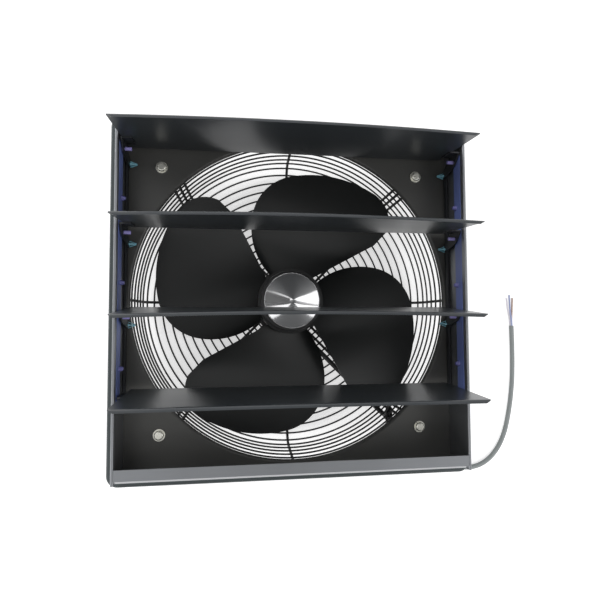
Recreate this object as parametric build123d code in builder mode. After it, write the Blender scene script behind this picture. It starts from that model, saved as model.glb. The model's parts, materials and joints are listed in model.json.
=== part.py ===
from build123d import *
import os
from math import asin, atan2, cos, degrees, hypot, pi, radians, sin, sqrt, tan

# Shutter exhaust fan, lying on its back on the wire guard
#
# X points to the right of the open front, Y to the top of the fan and Z out of the shutter.
# The origin is on the fan's axis, at the level of the rearmost wires of the guard. Sizes are in mm.

os.makedirs("parts", exist_ok=True)

# Sheet metal box: panel, casing and shutter frame
panel_front = 72.0
panel_sheet = 1.5
opening_radius = 180.5
lip_bend = 2.5
lip_depth = 5.5
casing_side_margin = 13.5
casing_end_margin = 11.5
casing_corner = 12.0
casing_sheet = 1.5
casing_rim_above_panel = 24.0
casing_edge_round = 3.0
rear_flange_step = 0.5
sheet_gap = 0.3
frame_depth = 50.0
frame_margin = 3.0
frame_web = 1.5
frame_bead = 3.0
frame_bead_depth = 7.0
frame_bead_round = 1.2
frame_foot = 9.0
rail_lip_height = 15.5
rail_lip_sheet = 1.8
rail_edge_slope = 4.4
rail_edge_drop = 9.0
frame_gap = 0.5
rivet_radius = 2.0
rivet_head_radius = 2.9
rivet_head_height = 1.0
rivet_rows = 4
rivet_end_margin = 18.5

# Shutter: four slats on pins in side strips, joined by link rods
slat_count = 4
top_pivot_margin = 27.5
pivot_above_panel = 32.0
slat_sheet = 1.2
slat_end_gap = 6.0
slat_rear_reach = 24.5
slat_front_reach = 75.5
slat_rear_rise = 10.4
slat_front_rise = 3.4
slat_tilts = {3: -3.0, 4: 2.2}
slat_shifts = {1: -3.5, 2: -0.8, 3: 0.5, 4: 1.2}
slat_lip = 2.2
slat_corner = 1.0
slat_lip_cut = 5.0
strip_thickness = 1.8
strip_below_pivot = 4.3
strip_front_gap = 0.3
strip_overhang = 6.5
strip_corner = 3.0
pivot_pin_radius = 2.0
pivot_pin_length = 11.3
pin_clearance = 0.05
pin_end_gap = 0.2
peg_below_pivot = 52.5
peg_head_radius = 3.0
peg_tip_radius = 1.7
peg_head_height = 4.2
peg_radius = 1.5
bracket_plate = 1.6
bracket_strip_gap = 1.3
bracket_pivot_round = 5.5
bracket_crank_round = 3.8
bracket_tab = 9.5
bracket_tab_sheet = 1.5
bracket_rear = 8.0
bracket_front = 14.0
crank_drop = 8.0
crank_back = 26.5
rod_thickness = 2.0
rod_width = 6.0
rod_eye_round = 3.5
rod_bracket_gap = 0.4
link_pin_radius = 2.0
barb_radius = 3.6
barb_tip_radius = 1.0
barb_length = 7.4
barb_slot = 1.3
barb_slot_length = 5.0
barb_gap = 0.2

# Wire guard
ring_wire = 2.2
arm_wire = 3.4
guard_side_inset = 5.5
guard_bend = 20.0
guard_taper = 6.2
rear_ring_count = 10
inner_ring_gap = 1.9
inner_ring_count = 3
inner_ring_step = 7.3
bend_ring_count = 3
side_ring_count = 4
side_ring_step = 10.7
ring_sides = 40
arm_spacing = 7.0
arm_inner_end = 34.0
arm_bend = 5.0
arm_corner_bend = 20.8
weld_gap = 0.02
foot_width = 22.0
foot_length = 24.0
foot_sheet = 2.0
foot_corner = 4.0
foot_arm_overlap = 5.0
single_arm_below_panel = 7.0

# Corner screws
screw_inset = 33.0
screw_radius = 3.0
screw_tail_radius = 2.8
screw_hole_radius = 3.3
screw_head_radius = 5.2
screw_head_height = 3.6
screw_tail = 9.0
washer_radius = 6.5
washer_sheet = 1.2
nut_across_flats = 10.0
nut_height = 5.0

# Motor: fixed stator inside a turning can
mount_plate_radius = 43.0
mount_plate_sheet = 3.0
base_radius = 33.0
base_height = 5.6
boss_radius = 14.0
boss_height = 29.0
bearing_outer = 11.0
bearing_width = 7.0
shaft_radius = 4.0
shaft_clearance = 0.02
core_radius = 29.0
core_gap_to_base = 6.0
core_height = 16.0
core_slots = 12
slot_radius = 2.6
slot_rim = 0.8
winding_radius = 26.5
winding_height = 4.0
winding_gap = 2.0
can_radius = 36.5
can_wall = 3.0
can_front_wall = 4.0
can_gap_to_base = 2.2
can_front = 50.0
can_edge_round = 2.5
can_spigot_height = 2.5
motor_screw_circle = 48.0
motor_screw_radius = 2.0
motor_screw_head_radius = 4.0
motor_screw_head_height = 2.6
motor_screw_depth = 6.0

# Fan wheel
hub_ring_wall = 2.5
hub_ring_rear = 14.6
hub_ring_front = 46.5
blade_count = 4
blade_sheet = 1.5
blade_middle_angle = 80.0
blade_middle_height = 30.0
blade_root_line = 30.0
blade_root_half = 52.0
blade_root_lift = 21.8
blade_tip_gap = 8.5
blade_tip_overrun = 6.0
blade_tip_shortfall = 20.0
blade_tip_lift = 12.0
blade_camber = 3.0
lead_root_radius = 29.0
lead_start_inset = 49.3
tip_end_inset = 15.0
trail_corner_inset = 51.7
trail_root_gap = 7.0
lead_root_angle = 52.6
lead_start_angle = 33.6
tip_start_angle = 51.96
tip_end_angle = 89.27
trail_start_angle = 111.45
trail_root_angle = 124.4
cap_radius = 32.5
cap_sheet = 1.0
cap_skirt = 10.0
cap_height = 24.0
cap_edge_round = 1.5

# Cable
cable_radius = 3.0
cable_side_step = 15.0
cable_lift = 0.2
cable_slope = 40.0
cable_rise_margin = 2.0
cable_outside_margin = 3.5
cable_turn = 12.0
cable_exit_turn = 9.0
cable_top_turn = 13.0
cable_under_panel = 11.0
clamp_margin = 24.5
gland_length = 9.0
gland_half_width = 5.0
gland_wall = 1.0
clip_wall = 1.6
clip_width = 5.0
clip_tail = 6.0
clip_tail_sheet = 3.0
clip_foot = 0.5
cord_first_run = 42.0
core_wire_radius = 1.1
core_ring = 1.35
core_drop_run = 9.0
core_tail_length = 42.0
core_spread = 3.0
core_stagger = 4.0

# Levels and places worked out from the sizes above
frame_inner = opening_radius + frame_margin
casing_half_width = frame_inner + casing_side_margin
casing_half_height = frame_inner + casing_end_margin
rear_flange_opening = frame_inner + rear_flange_step
panel_rear = panel_front - panel_sheet
frame_front = panel_front + frame_depth
casing_front = panel_front + casing_rim_above_panel
casing_rear = panel_rear - casing_sheet
pivot_level = panel_front + pivot_above_panel
web_inner = frame_inner + frame_bead - frame_web
bead_rear = frame_front - frame_bead_depth
rivet_reach = frame_inner + (frame_bead + frame_foot) / 2
rivet_pitch = 2 * (frame_inner - rivet_end_margin) / (rivet_rows - 1)
guard_flat_radius = opening_radius - guard_side_inset - guard_bend
inner_ring_radius = mount_plate_radius + inner_ring_gap
rear_ring_span = guard_flat_radius - inner_ring_radius - inner_ring_count * inner_ring_step
rear_ring_step = rear_ring_span / (rear_ring_count - 1)
guard_rear = arm_wire + ring_wire / 2
guard_turn = 90.0 - guard_taper
guard_centre = guard_rear + guard_bend
mount_plate_top = arm_wire + mount_plate_sheet
base_top = mount_plate_top + base_height
boss_top = base_top + boss_height
can_rear = base_top + can_gap_to_base
corner_reach = opening_radius - screw_inset
screw_square = 2 * corner_reach
slat_half_length = frame_inner - slat_end_gap
top_pivot_height = frame_inner - top_pivot_margin
slat_pitch = (top_pivot_height + frame_inner - slat_front_reach) / (slat_count - 1)
pivot_heights = [top_pivot_height - slat_pitch * number for number in range(slat_count)]
peg_heights = [height - peg_below_pivot for height in pivot_heights[:-1]]
strip_inner = web_inner - strip_thickness
strip_front = bead_rear - strip_front_gap
strip_rear = pivot_level - strip_below_pivot
bracket_outer = strip_inner - bracket_strip_gap
bracket_inner = bracket_outer - bracket_plate
rod_inner = bracket_outer + rod_bracket_gap
rod_outer = rod_inner + rod_thickness
hub_radius = can_radius + hub_ring_wall
wheel_radius = opening_radius - blade_tip_gap
cable_rise_start = guard_flat_radius + cable_rise_margin
cable_outside = opening_radius + cable_outside_margin
clamp_reach = opening_radius + clamp_margin
sides = {"left": -1, "right": 1}


def save(part, name):
    """Label one finished piece and write it as its own file."""
    part.label = name
    export_step(part, f"parts/{name}.step")


def side_plane(side, distance):
    """A plane facing outward along X, at a distance from the middle on one side."""
    return Plane(origin=(side * distance, 0, 0), x_dir=(0, side, 0), z_dir=(side, 0, 0))


def underside(reach, front_rise):
    """Height of a slat's underside over its pivot, at a reach in front of the pivot."""
    slope = (slat_rear_rise - front_rise) / (slat_rear_reach + slat_front_reach)
    return front_rise + (slat_front_reach - reach) * slope


def guard_place(index):
    """Radius and height of one guard ring, counted from the edge of the flat rear."""
    if index <= 0:
        outer_steps = min(-index, rear_ring_count - 1)
        inner_steps = max(-index - rear_ring_count + 1, 0)
        return guard_flat_radius - outer_steps * rear_ring_step - inner_steps * inner_ring_step, guard_rear
    turned = radians(guard_turn * min(index, bend_ring_count) / bend_ring_count)
    radius = guard_flat_radius + guard_bend * sin(turned)
    height = guard_centre - guard_bend * cos(turned)
    climbed = max(index - bend_ring_count, 0) * side_ring_step
    lean = radians(guard_taper)
    return radius + climbed * sin(lean), height + climbed * cos(lean)


# Casing: a shallow tray round the shutter frame, with a front lip and a rear flange
with BuildPart() as outer_casing:
    with BuildSketch(Plane.XY.offset(casing_rear)):
        RectangleRounded(2 * casing_half_width, 2 * casing_half_height, casing_corner)
    extrude(amount=casing_front - casing_rear)
    fillet(outer_casing.faces().sort_by(Axis.Z)[-1].edges(), casing_edge_round)
    with BuildSketch(Plane.XY.offset(casing_rear + casing_sheet)):
        RectangleRounded(
            2 * (casing_half_width - casing_sheet),
            2 * (casing_half_height - casing_sheet),
            casing_corner - casing_sheet,
        )
    extrude(amount=casing_front - casing_rear - 2 * casing_sheet, mode=Mode.SUBTRACT)
    with BuildSketch(Plane.XY.offset(casing_rear)):
        Rectangle(2 * rear_flange_opening, 2 * rear_flange_opening)
    extrude(amount=casing_sheet, mode=Mode.SUBTRACT)
    with BuildSketch(Plane.XY.offset(casing_front - casing_sheet)):
        Rectangle(
            2 * (frame_inner + frame_bead + frame_gap),
            2 * (frame_inner + frame_web + frame_gap),
        )
    extrude(amount=casing_sheet, mode=Mode.SUBTRACT)
    with BuildSketch(Plane.XY.offset(casing_rear)):
        with GridLocations(2 * rivet_reach, rivet_pitch, 2, rivet_rows):
            Circle(rivet_radius)
    extrude(amount=casing_sheet, mode=Mode.SUBTRACT)
save(outer_casing.part, "outer_casing")

# Fan panel: a square sheet whose round opening is rolled back into a lip
with BuildPart() as fan_panel:
    with BuildSketch(Plane.XY.offset(panel_rear)):
        RectangleRounded(
            2 * (casing_half_width - casing_sheet - sheet_gap),
            2 * (casing_half_height - casing_sheet - sheet_gap),
            casing_corner - casing_sheet,
        )
        Circle(opening_radius + lip_bend, mode=Mode.SUBTRACT)
        with GridLocations(screw_square, screw_square, 2, 2):
            Circle(screw_hole_radius, mode=Mode.SUBTRACT)
        with GridLocations(2 * rivet_reach, rivet_pitch, 2, rivet_rows):
            Circle(rivet_radius, mode=Mode.SUBTRACT)
    extrude(amount=panel_sheet)
    with BuildSketch(Plane.XZ):
        with BuildLine():
            front_bend = CenterArc(
                (opening_radius + lip_bend, panel_front - lip_bend), lip_bend, 90, 90
            )
            rear_bend = CenterArc(
                (opening_radius + lip_bend, panel_front - lip_bend), lip_bend - panel_sheet, 90, 90
            )
            Line(front_bend @ 0, rear_bend @ 0)
            Polyline(
                front_bend @ 1,
                (opening_radius, panel_front - lip_depth),
                (opening_radius + panel_sheet, panel_front - lip_depth),
                rear_bend @ 1,
            )
        make_face()
    revolve(axis=Axis.Z)
save(fan_panel.part, "fan_panel")

# Shutter frame: two stiles with a rolled front bead and a foot on the panel
for side_name, side in sides.items():
    with BuildPart() as stile:
        with BuildSketch(Plane.XZ.offset(-(frame_inner + frame_web))):
            with BuildLine():
                Polyline(
                    (web_inner, panel_front),
                    (web_inner, bead_rear),
                    (frame_inner, bead_rear),
                    (frame_inner, frame_front),
                    (frame_inner + frame_bead, frame_front),
                    (frame_inner + frame_bead, panel_front + frame_web),
                    (frame_inner + frame_foot, panel_front + frame_web),
                    (frame_inner + frame_foot, panel_front),
                    close=True,
                )
            make_face()
            mirror(about=Plane.YZ, mode=Mode.REPLACE) if side < 0 else None
        extrude(amount=2 * (frame_inner + frame_web))
        bead_edges = stile.edges().filter_by(Axis.Y).group_by(Axis.Z)[-1]
        fillet(bead_edges, frame_bead_round)
        with BuildSketch(side_plane(side, web_inner)):
            with Locations(*[(side * height, pivot_level) for height in peg_heights]):
                Circle(peg_radius)
        extrude(amount=frame_web, mode=Mode.SUBTRACT)
        with BuildSketch(Plane.XY.offset(panel_front)):
            with Locations((side * rivet_reach, 0)):
                with GridLocations(1, rivet_pitch, 1, rivet_rows):
                    Circle(rivet_radius)
        extrude(amount=frame_web, mode=Mode.SUBTRACT)
    save(stile.part, f"{side_name}_stile")

# Top rail and bottom sill: a floor with a slanting front edge and a tall lip, between the stiles
rail_fold = frame_inner - rail_edge_slope * (1 - rail_lip_sheet / rail_edge_drop)
for rail_name, up in {"top_rail": 1, "bottom_sill": -1}.items():
    with BuildPart() as rail:
        with BuildSketch(side_plane(1, -frame_inner)):
            with BuildLine():
                Polyline(
                    (up * frame_inner, panel_front),
                    (up * frame_inner, frame_front - rail_edge_drop),
                    (up * rail_fold, frame_front - rail_lip_sheet),
                    (up * (frame_inner + frame_web - rail_lip_height), frame_front - rail_lip_sheet),
                    (up * (frame_inner + frame_web - rail_lip_height), frame_front),
                    (up * (frame_inner + frame_web - rail_edge_slope), frame_front),
                    (up * (frame_inner + frame_web), frame_front - rail_edge_drop),
                    (up * (frame_inner + frame_web), panel_front),
                    close=True,
                )
            make_face()
        extrude(amount=2 * frame_inner)
    save(rail.part, rail_name)

# Blind rivets through the stiles' feet, the panel and the casing's flange
with BuildPart() as frame_rivets:
    rivet_stack = frame_web + panel_sheet + casing_sheet
    with BuildSketch(Plane.XY.offset(casing_rear)):
        with GridLocations(2 * rivet_reach, rivet_pitch, 2, rivet_rows):
            Circle(rivet_radius)
    extrude(amount=rivet_stack)
    with BuildSketch(Plane.XY.offset(panel_front + frame_web)):
        with GridLocations(2 * rivet_reach, rivet_pitch, 2, rivet_rows):
            Circle(rivet_head_radius)
    extrude(amount=rivet_head_height, taper=30)
save(frame_rivets.part, "frame_rivets")

# Bearing strips: one on each stile, with a hole for every slat's pivot pin
for side_name, side in sides.items():
    strip_length = slat_pitch * (slat_count - 1) + 2 * strip_overhang
    strip_middle = (pivot_heights[0] + pivot_heights[-1]) / 2
    with BuildPart() as strip:
        with BuildSketch(side_plane(side, strip_inner)):
            with Locations((side * strip_middle, (strip_front + strip_rear) / 2)):
                RectangleRounded(strip_length, strip_front - strip_rear, strip_corner)
            with Locations(*[(side * height, pivot_level) for height in pivot_heights]):
                Circle(pivot_pin_radius + pin_clearance, mode=Mode.SUBTRACT)
            with Locations(*[(side * height, pivot_level) for height in peg_heights]):
                Circle(peg_radius, mode=Mode.SUBTRACT)
        extrude(amount=strip_thickness)
    save(strip.part, f"{side_name}_bearing_strip")

# Pegs with tapered heads, which hold the strips between the pivots
with BuildPart() as strip_pegs:
    for side in sides.values():
        with BuildSketch(side_plane(side, strip_inner)):
            with Locations(*[(side * height, pivot_level) for height in peg_heights]):
                Circle(peg_radius)
        extrude(amount=strip_thickness + frame_web)
        with BuildSketch(side_plane(side, strip_inner)):
            with Locations(*[(side * height, pivot_level) for height in peg_heights]):
                Circle(peg_head_radius)
        peg_taper = degrees(atan2(peg_head_radius - peg_tip_radius, peg_head_height))
        extrude(amount=-peg_head_height, taper=peg_taper)
save(strip_pegs.part, "strip_pegs")


def slat_plane(height, distance):
    """Plane across a slat: its X runs out of the front and its Y up, from the slat's pivot."""
    return Plane(origin=(distance, height, pivot_level), x_dir=(0, 0, 1), z_dir=(-1, 0, 0))


# Slats: thin sheets with a down-turned front lip, whose ends are cut off at a slant.
# They sit with a little play in tilt and sideways on their brackets.
for number, height in enumerate(pivot_heights, start=1):
    front_rise = slat_front_rise + slat_tilts.get(number, 0.0)
    shift = slat_shifts.get(number, 0.0)
    with BuildPart() as slat:
        with BuildSketch(slat_plane(height, slat_half_length + shift)):
            with BuildLine():
                FilletPolyline(
                    (-slat_rear_reach, slat_rear_rise),
                    (slat_front_reach, front_rise),
                    (slat_front_reach, front_rise - slat_lip),
                    radius=slat_corner,
                )
                offset(amount=slat_sheet, side=Side.LEFT)
            make_face()
        extrude(amount=2 * slat_half_length)
        lip_top = height + front_rise - slat_corner / 2
        with BuildSketch(Plane.XY.offset(pivot_level + slat_front_reach - slat_lip)):
            for side in sides.values():
                with BuildLine():
                    Polyline(
                        (shift + side * (slat_half_length + slat_corner), lip_top + slat_corner),
                        (shift + side * (slat_half_length + slat_corner), lip_top - slat_lip_cut),
                        (shift + side * (slat_half_length - slat_lip_cut), lip_top - slat_lip_cut),
                        close=True,
                    )
                make_face()
        extrude(amount=slat_lip + 2 * slat_sheet, mode=Mode.SUBTRACT)
    save(slat.part, f"slat_{number}")

    # End brackets: a cheek that carries the pivot and the crank eye, and a tab under the slat
    tab_rear = (-bracket_rear, underside(-bracket_rear, front_rise))
    tab_front = (bracket_front, underside(bracket_front, front_rise))
    tab_front_below = (bracket_front, tab_front[1] - bracket_tab_sheet)
    tab_rear_below = (-bracket_rear, tab_rear[1] - bracket_tab_sheet)
    with BuildPart() as brackets:
        for side in sides.values():
            cheek_face = bracket_outer if side > 0 else -bracket_inner
            with BuildSketch(slat_plane(height, cheek_face)):
                Circle(bracket_pivot_round)
                with Locations((-crank_back, -crank_drop)):
                    Circle(bracket_crank_round)
                with BuildLine():
                    Polyline((-bracket_rear, 0), tab_rear, tab_front, tab_front_below, close=True)
                make_face()
                make_hull()
                with Locations((0, 0)):
                    Circle(pivot_pin_radius, mode=Mode.SUBTRACT)
                with Locations((-crank_back, -crank_drop)):
                    Circle(link_pin_radius + pin_clearance, mode=Mode.SUBTRACT)
            extrude(amount=bracket_plate)
            tab_face = bracket_inner if side > 0 else -bracket_inner + bracket_tab
            with BuildSketch(slat_plane(height, tab_face)):
                with BuildLine():
                    Polyline(tab_rear, tab_front, tab_front_below, tab_rear_below, close=True)
                make_face()
            extrude(amount=bracket_tab)
    save(brackets.part, f"slat_{number}_brackets")

    # Pivot pins, pressed into the brackets and turning in the strips
    pin_outer = web_inner - pin_end_gap
    with BuildPart() as pins:
        for side in sides.values():
            pin_face = pin_outer if side > 0 else -pin_outer + pivot_pin_length
            with BuildSketch(slat_plane(height, pin_face)):
                Circle(pivot_pin_radius)
            extrude(amount=pivot_pin_length)
    save(pins.part, f"slat_{number}_pins")

# Link rods: flat bars with an eye at each slat's crank, and the barbed pins they carry
crank_heights = [height - crank_drop for height in pivot_heights]
crank_level = pivot_level - crank_back
for side_name, side in sides.items():
    with BuildPart() as link_rod:
        with BuildSketch(side_plane(side, rod_inner)):
            with Locations((side * (crank_heights[0] + crank_heights[-1]) / 2, crank_level)):
                Rectangle(crank_heights[0] - crank_heights[-1], rod_width)
            with Locations(*[(side * height, crank_level) for height in crank_heights]):
                Circle(rod_eye_round)
            with Locations(*[(side * height, crank_level) for height in crank_heights]):
                Circle(link_pin_radius, mode=Mode.SUBTRACT)
        extrude(amount=rod_thickness)
    save(link_rod.part, f"{side_name}_link_rod")

    barb_base = bracket_inner - barb_gap
    with BuildPart() as link_pins:
        with BuildSketch(side_plane(side, barb_base)):
            with Locations(*[(side * height, crank_level) for height in crank_heights]):
                Circle(link_pin_radius)
        extrude(amount=rod_outer - barb_base)
        for height in crank_heights:
            with BuildSketch(Plane.XZ.offset(-height)):
                with BuildLine():
                    Polyline(
                        (side * barb_base, crank_level),
                        (side * barb_base, crank_level + barb_radius),
                        (side * (barb_base - barb_length), crank_level + barb_tip_radius),
                        (side * (barb_base - barb_length), crank_level),
                        close=True,
                    )
                make_face()
            revolve(axis=Axis((0, height, crank_level), (1, 0, 0)))
        with BuildSketch(side_plane(side, barb_base)):
            with Locations(*[(side * height, crank_level) for height in crank_heights]):
                Rectangle(2 * barb_radius + barb_slot, barb_slot, rotation=45)
                Rectangle(2 * barb_radius + barb_slot, barb_slot, rotation=-45)
                Circle(link_pin_radius, mode=Mode.SUBTRACT)
        extrude(amount=-barb_slot_length, mode=Mode.SUBTRACT)
    save(link_pins.part, f"{side_name}_link_pins")


def ring_group(indices):
    """Guard rings of square wire, each a many-sided loop with its flats under the arms."""
    half = ring_wire / 2
    turn = 180 / ring_sides
    with BuildPart() as rings:
        for index in indices:
            radius, level = guard_place(index)
            with BuildSketch(Plane.XY.offset(level - half)):
                RegularPolygon(radius + half, ring_sides, major_radius=False, rotation=turn)
                RegularPolygon(
                    radius - half, ring_sides, major_radius=False, rotation=turn, mode=Mode.SUBTRACT
                )
            extrude(amount=ring_wire)
    return rings.part


# Wire guard: rings on a flat rear, a rounded corner and a tapered side
rear_rings = range(-(rear_ring_count + inner_ring_count) + 1, 1)
side_rings = range(1, bend_ring_count + side_ring_count + 1)
save(ring_group(rear_rings), "guard_rear_rings")
save(ring_group(side_rings), "guard_side_rings")

# The arms follow the rings on the outside and touch the outer corners of the square wires
lean = radians(guard_taper)
arm_offset = ring_wire / 2 * (cos(lean) + sin(lean)) + arm_wire / 2 + weld_gap
side_start_radius, side_start_level = guard_place(bend_ring_count)
arm_start = (side_start_radius + arm_offset * cos(lean), side_start_level - arm_offset * sin(lean))
foot_level = panel_rear - foot_sheet
arm_foot_level = foot_level - arm_wire / 2
flat_corner_reach = arm_start[0] - (arm_start[1] - arm_wire / 2) * tan(lean)
foot_corner_reach = arm_start[0] + (arm_foot_level - arm_start[1]) * tan(lean)
foot_inner = sqrt(2) * corner_reach - foot_length / 2
arm_outer_end = foot_inner + foot_arm_overlap
single_top = panel_front - single_arm_below_panel
single_top_reach = arm_start[0] + (single_top - arm_start[1]) * tan(lean)


def arm_plane(angle, side_step):
    """Upright plane through an arm: its X runs outward and its Y up."""
    out = (cos(radians(angle)), sin(radians(angle)))
    origin = (side_step * -out[1], side_step * out[0], 0)
    return Plane(origin=origin, x_dir=(out[0], out[1], 0), z_dir=(out[1], -out[0], 0))


def arm_wire_solid(angle, side_step, points, radii):
    """One bent wire of the guard, swept along its points."""
    plane = arm_plane(angle, side_step)
    with BuildPart() as wire:
        with BuildLine(plane):
            FilletPolyline(*points, radius=radii)
        with BuildSketch(Plane(origin=plane.from_local_coords(points[0]), z_dir=plane.x_dir)):
            Circle(arm_wire / 2)
        sweep()
    return wire.part


single_points = [
    (arm_inner_end, arm_wire / 2),
    (flat_corner_reach, arm_wire / 2),
    (single_top_reach, single_top),
]
foot_points = [
    (arm_inner_end, arm_wire / 2),
    (flat_corner_reach, arm_wire / 2),
    (foot_corner_reach, arm_foot_level),
    (arm_outer_end, arm_foot_level),
]
single_arms = [
    arm_wire_solid(90 * quarter, 0, single_points, [arm_corner_bend]) for quarter in range(4)
]
save(Compound(children=single_arms), "guard_spokes")
corner_arms = [
    arm_wire_solid(45 + 90 * quarter, step * arm_spacing, foot_points, [arm_corner_bend, arm_bend])
    for quarter in range(4)
    for step in (-1, 0, 1)
]
save(Compound(children=corner_arms), "guard_arms")

# Feet: drilled tabs that join each set of three wires to a corner screw
with BuildPart() as guard_feet:
    with BuildSketch(Plane.XY.offset(foot_level)):
        with PolarLocations(sqrt(2) * corner_reach, 4, start_angle=45):
            RectangleRounded(foot_length, foot_width, foot_corner)
        with PolarLocations(sqrt(2) * corner_reach, 4, start_angle=45):
            Circle(screw_hole_radius, mode=Mode.SUBTRACT)
    extrude(amount=foot_sheet)
save(guard_feet.part, "guard_feet")

# Corner screws with washers in front and nuts behind the guard's feet.
# Behind the nuts each ends in bare thread, a plain rod between the thread's crests and roots.
with BuildPart() as corner_screws:
    head_level = panel_front + washer_sheet
    with BuildSketch(Plane.XY.offset(head_level)):
        with GridLocations(screw_square, screw_square, 2, 2):
            Circle(screw_head_radius)
    extrude(amount=screw_head_height)
    fillet(corner_screws.faces().group_by(Axis.Z)[-1].edges(), screw_head_height * 0.5)
    with BuildSketch(Plane.XY.offset(head_level)):
        with GridLocations(screw_square, screw_square, 2, 2):
            Circle(screw_radius)
    extrude(amount=-(washer_sheet + panel_sheet + foot_sheet + nut_height))
    with BuildSketch(Plane.XY.offset(foot_level - nut_height)):
        with GridLocations(screw_square, screw_square, 2, 2):
            Circle(screw_tail_radius)
    extrude(amount=-screw_tail)
save(corner_screws.part, "corner_screws")

with BuildPart() as corner_washers:
    with BuildSketch(Plane.XY.offset(panel_front)):
        with GridLocations(screw_square, screw_square, 2, 2):
            Circle(washer_radius)
            Circle(screw_radius, mode=Mode.SUBTRACT)
    extrude(amount=washer_sheet)
save(corner_washers.part, "corner_washers")

with BuildPart() as corner_nuts:
    with BuildSketch(Plane.XY.offset(foot_level)):
        with GridLocations(screw_square, screw_square, 2, 2):
            RegularPolygon(nut_across_flats / 2, 6, major_radius=False)
            Circle(screw_radius, mode=Mode.SUBTRACT)
    extrude(amount=-nut_height)
save(corner_nuts.part, "corner_nuts")

# Motor plate: the disc in the middle of the guard that carries the motor
with BuildPart() as motor_plate:
    with BuildSketch(Plane.XY.offset(arm_wire)):
        Circle(mount_plate_radius)
        with PolarLocations(motor_screw_circle / 2, 4, start_angle=45):
            Circle(motor_screw_radius, mode=Mode.SUBTRACT)
    extrude(amount=mount_plate_sheet)
save(motor_plate.part, "motor_plate")

with BuildPart() as motor_screws:
    with BuildSketch(Plane.XY.offset(arm_wire)):
        with PolarLocations(motor_screw_circle / 2, 4, start_angle=45):
            Circle(motor_screw_head_radius)
    extrude(amount=-motor_screw_head_height)
    with BuildSketch(Plane.XY.offset(arm_wire)):
        with PolarLocations(motor_screw_circle / 2, 4, start_angle=45):
            Circle(motor_screw_radius)
    extrude(amount=motor_screw_depth)
save(motor_screws.part, "motor_screws")

# Stator base: flange and bearing tube
with BuildPart() as stator_base:
    with BuildSketch(Plane.XY.offset(mount_plate_top)):
        Circle(base_radius)
    extrude(amount=base_height)
    with BuildSketch(Plane.XY.offset(base_top)):
        Circle(boss_radius)
    extrude(amount=boss_height)
    with BuildSketch(Plane.XY.offset(mount_plate_top)):
        Circle(bearing_outer)
    extrude(amount=boss_top - mount_plate_top, mode=Mode.SUBTRACT)
    with BuildSketch(Plane.XY.offset(mount_plate_top)):
        with PolarLocations(motor_screw_circle / 2, 4, start_angle=45):
            Circle(motor_screw_radius)
    extrude(amount=motor_screw_depth - mount_plate_sheet, mode=Mode.SUBTRACT)
save(stator_base.part, "stator_base")

for bearing_name, bearing_level in {
    "rear_bearing": mount_plate_top + base_height / 2,
    "front_bearing": boss_top - bearing_width,
}.items():
    with BuildPart() as bearing:
        with BuildSketch(Plane.XY.offset(bearing_level)):
            Circle(bearing_outer)
            Circle(shaft_radius + shaft_clearance, mode=Mode.SUBTRACT)
        extrude(amount=bearing_width)
    save(bearing.part, bearing_name)

# Stator core with its winding slots, and the end turns on it
with BuildPart() as stator_core:
    with BuildSketch(Plane.XY.offset(base_top + core_gap_to_base)):
        Circle(core_radius)
        Circle(boss_radius, mode=Mode.SUBTRACT)
        with PolarLocations(core_radius - slot_rim - slot_radius, core_slots):
            Circle(slot_radius, mode=Mode.SUBTRACT)
    extrude(amount=core_height)
save(stator_core.part, "stator_core")

with BuildPart() as stator_windings:
    for winding_level in (base_top + core_gap_to_base - winding_height, base_top + core_gap_to_base + core_height):
        with BuildSketch(Plane.XY.offset(winding_level)):
            Circle(winding_radius - slot_radius)
            Circle(boss_radius + winding_gap, mode=Mode.SUBTRACT)
        extrude(amount=winding_height)
save(stator_windings.part, "stator_windings")

# Rotor can: a cup over the stator, with a low spigot for the cap
with BuildPart() as rotor_can:
    with BuildSketch(Plane.XY.offset(can_rear)):
        Circle(can_radius)
    extrude(amount=can_front - can_rear)
    fillet(rotor_can.faces().sort_by(Axis.Z)[-1].edges(), can_edge_round)
    with BuildSketch(Plane.XY.offset(can_rear)):
        Circle(can_radius - can_wall)
    extrude(amount=can_front - can_front_wall - can_rear, mode=Mode.SUBTRACT)
    with BuildSketch(Plane.XY.offset(can_front)):
        Circle(cap_radius - cap_sheet)
    extrude(amount=can_spigot_height)
    with BuildSketch(Plane.XY.offset(can_front - can_front_wall)):
        Circle(shaft_radius)
    extrude(amount=can_front_wall, mode=Mode.SUBTRACT)
save(rotor_can.part, "rotor_can")

with BuildPart() as rotor_shaft:
    with BuildSketch(Plane.XY.offset(mount_plate_top + base_height / 2)):
        Circle(shaft_radius)
    extrude(amount=can_front - mount_plate_top - base_height / 2)
save(rotor_shaft.part, "rotor_shaft")

# Hub ring: the steel band on the can to which the blades are welded
with BuildPart() as hub_ring:
    with BuildSketch(Plane.XY.offset(hub_ring_rear)):
        Circle(hub_radius)
        Circle(can_radius, mode=Mode.SUBTRACT)
    extrude(amount=hub_ring_front - hub_ring_rear)
save(hub_ring.part, "hub_ring")

# Blades: wide twisted paddles, cut to their outline from a sheet that flattens toward the tip
root_plane = Plane(origin=(blade_root_line, 0, blade_middle_height), x_dir=(0, 1, 0), z_dir=(1, 0, 0))
tip_line = wheel_radius + blade_tip_overrun
tip_plane = Plane(origin=(tip_line, 0, blade_middle_height), x_dir=(0, 1, 0), z_dir=(1, 0, 0))


def strip_section(plane, half, lift):
    """Curved section of the blade sheet, rising toward its leading side."""
    with BuildSketch(plane) as section:
        with BuildLine():
            lower = ThreePointArc((-half, lift), (0, -blade_camber), (half, -lift))
            upper = ThreePointArc(
                (-half, lift + blade_sheet), (0, blade_sheet - blade_camber), (half, blade_sheet - lift)
            )
            Line(lower @ 0, upper @ 0)
            Line(lower @ 1, upper @ 1)
        make_face()
    return section.sketch


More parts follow.
